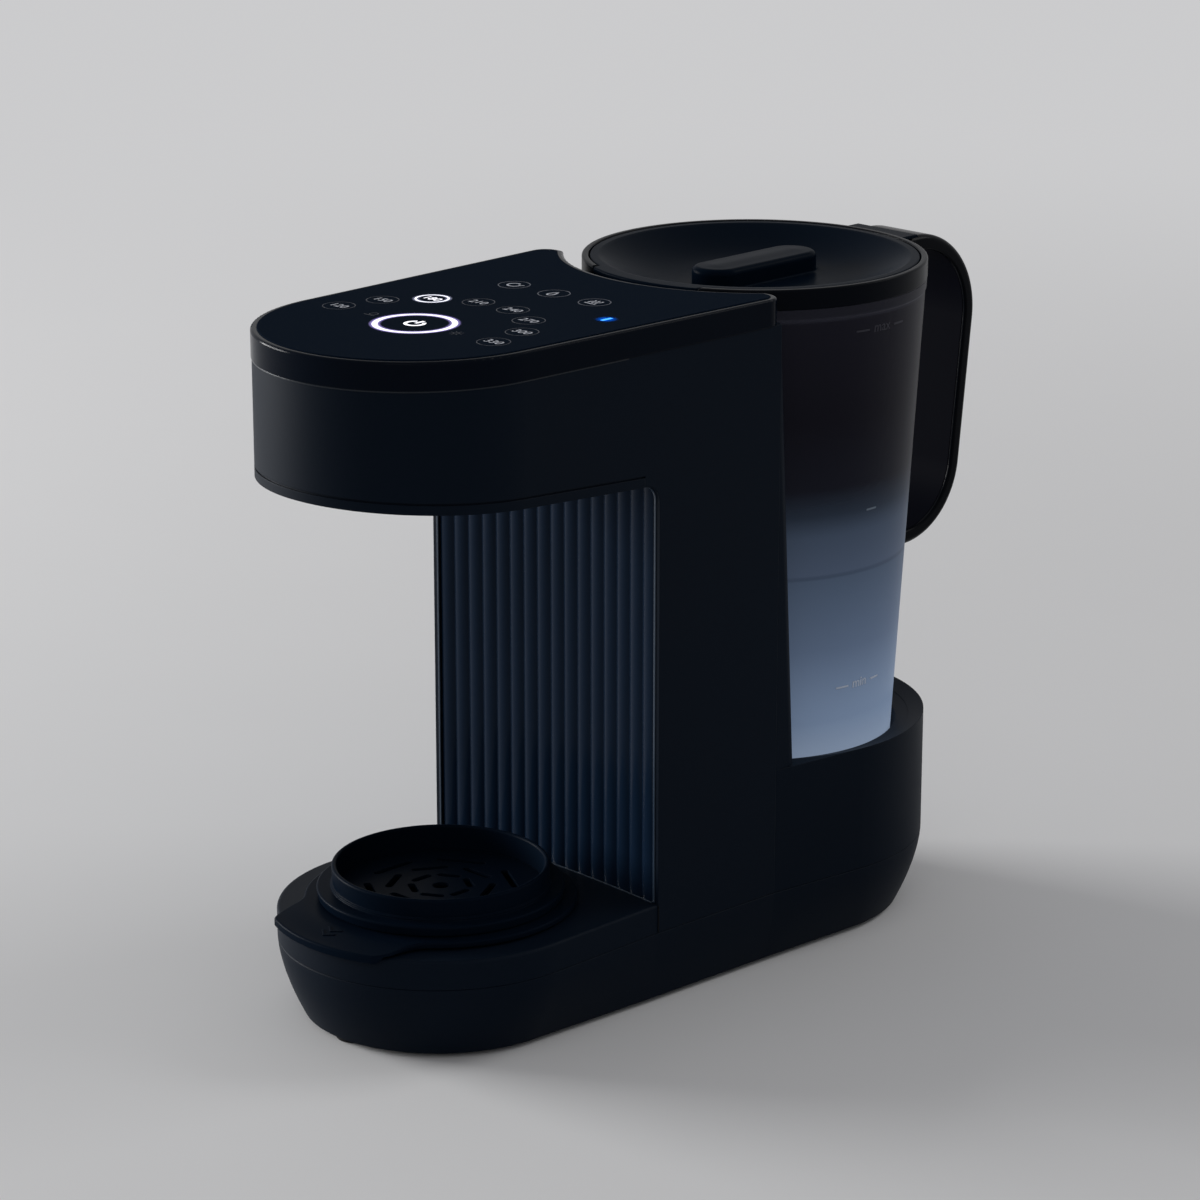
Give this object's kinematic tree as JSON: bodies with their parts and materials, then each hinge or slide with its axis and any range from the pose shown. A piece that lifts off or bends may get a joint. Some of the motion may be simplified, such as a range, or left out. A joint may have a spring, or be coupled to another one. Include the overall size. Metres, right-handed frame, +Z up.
{
  "type": "baby formula maker",
  "caption": "Countertop water heater for baby formula: touch keys on an overhanging head, bottle stand on a drip tray, reeded splash panel and a lift-off water jug.",
  "frame": {"origin": "on the surface the feet stand on, under the centre of the bounding box", "axes": "+X to the right seen from the front, +Y from the bottle stand to the jug, +Z up"},
  "size_m": [0.1312, 0.334, 0.25],
  "materials": {
    "main_housing": "fine matt",
    "top_bezel": "gloss",
    "touch_panel": "satin touch surface",
    "power_ring": "satin ring",
    "key_light_guides": "clear light guides",
    "control_board": "solder mask",
    "head_bottom_cover": "fine matt",
    "nozzle_housing": "gloss",
    "nozzle_tip": "silicone",
    "splash_panel": "gloss",
    "rear_cover": "fine matt",
    "base_deck": "satin",
    "base_pan": "fine matt",
    "rubber_feet": "matt",
    "base_screws": "zinc plated",
    "jug_socket": "satin",
    "socket_seal": "silicone",
    "pump_motor": "plated can",
    "pump_casing": "satin",
    "pump_rotor": "satin",
    "pump_cradle": "matt",
    "heater_tube": "satin",
    "heater_caps": "heat-proof plastic",
    "thermostat": "satin",
    "lower_shelf": "moulded",
    "upper_clamp": "moulded",
    "power_board": "solder mask",
    "suction_hose": "silicone",
    "pump_hose": "silicone",
    "nozzle_hose": "silicone",
    "mains_inlet": "satin",
    "inlet_pins": "plated",
    "inlet_lead": "sheath",
    "control_loom": "sheath",
    "drip_tray": "satin",
    "bottle_stand": "satin",
    "stand_grid": "satin",
    "jug_shell": "frosted clear plastic",
    "jug_rim": "satin",
    "jug_handle": "satin",
    "handle_grip": "soft matt",
    "handle_cap": "gloss",
    "jug_valve_body": "satin",
    "valve_plunger": "satin",
    "valve_seal": "silicone",
    "valve_spring": "stainless",
    "jug_lid": "satin",
    "lid_seal": "silicone"
  },
  "bodies": {
    "housing": {"main_housing": "main_housing", "top_bezel": "top_bezel", "touch_panel": "touch_panel", "power_ring": "power_ring", "key_light_guides": "key_light_guides", "control_board": "control_board", "head_bottom_cover": "head_bottom_cover", "nozzle_housing": "nozzle_housing", "nozzle_tip": "nozzle_tip", "splash_panel": "splash_panel", "rear_cover": "rear_cover", "base_deck": "base_deck", "base_pan": "base_pan", "rubber_feet": "rubber_feet", "base_screws": "base_screws", "jug_socket": "jug_socket", "socket_seal": "socket_seal", "pump_motor": "pump_motor", "pump_casing": "pump_casing", "pump_cradle": "pump_cradle", "heater_tube": "heater_tube", "heater_caps": "heater_caps", "thermostat": "thermostat", "lower_shelf": "lower_shelf", "upper_clamp": "upper_clamp", "power_board": "power_board", "suction_hose": "suction_hose", "pump_hose": "pump_hose", "nozzle_hose": "nozzle_hose", "mains_inlet": "mains_inlet", "inlet_pins": "inlet_pins", "inlet_lead": "inlet_lead", "control_loom": "control_loom"},
    "pump_rotor": {"pump_rotor": "pump_rotor"},
    "drip_tray": {"drip_tray": "drip_tray"},
    "bottle_stand": {"bottle_stand": "bottle_stand", "stand_grid": "stand_grid"},
    "jug": {"jug_shell": "jug_shell", "jug_rim": "jug_rim", "jug_handle": "jug_handle", "handle_grip": "handle_grip", "handle_cap": "handle_cap", "jug_valve_body": "jug_valve_body"},
    "valve": {"valve_plunger": "valve_plunger", "valve_seal": "valve_seal", "valve_spring": "valve_spring"},
    "lid": {"jug_lid": "jug_lid", "lid_seal": "lid_seal"}
  },
  "joints": [
    {"name": "jug_lift", "type": "slide", "parent": "housing", "child": "jug", "axis": [0, 0, 1], "range_m": [0, 0.26]},
    {"name": "lid_lift", "type": "slide", "parent": "jug", "child": "lid", "axis": [0, 0, 1], "range_m": [0, 0.08]},
    {"name": "tray_draw", "type": "slide", "parent": "housing", "child": "drip_tray", "axis": [0, -0.8, 0.6], "range_m": [0, 0.15]},
    {"name": "stand_draw", "type": "slide", "parent": "drip_tray", "child": "bottle_stand", "axis": [0, -0.8, 0.6], "range_m": [0, 0.15]},
    {"name": "valve_close", "type": "slide", "parent": "jug", "child": "valve", "axis": [0, 0, -1], "range_m": [0, 0.0027], "deforming": ["valve_spring"]},
    {"name": "pump_spin", "type": "hinge", "parent": "housing", "child": "pump_rotor", "pos_m": [0.026, 0.034, 0.02], "axis": [0, 1, 0], "continuous": true}
  ],
  "couplings": [
    {"joint": "valve_close", "follows": "jug_lift", "ratio": 0.01038}
  ]
}
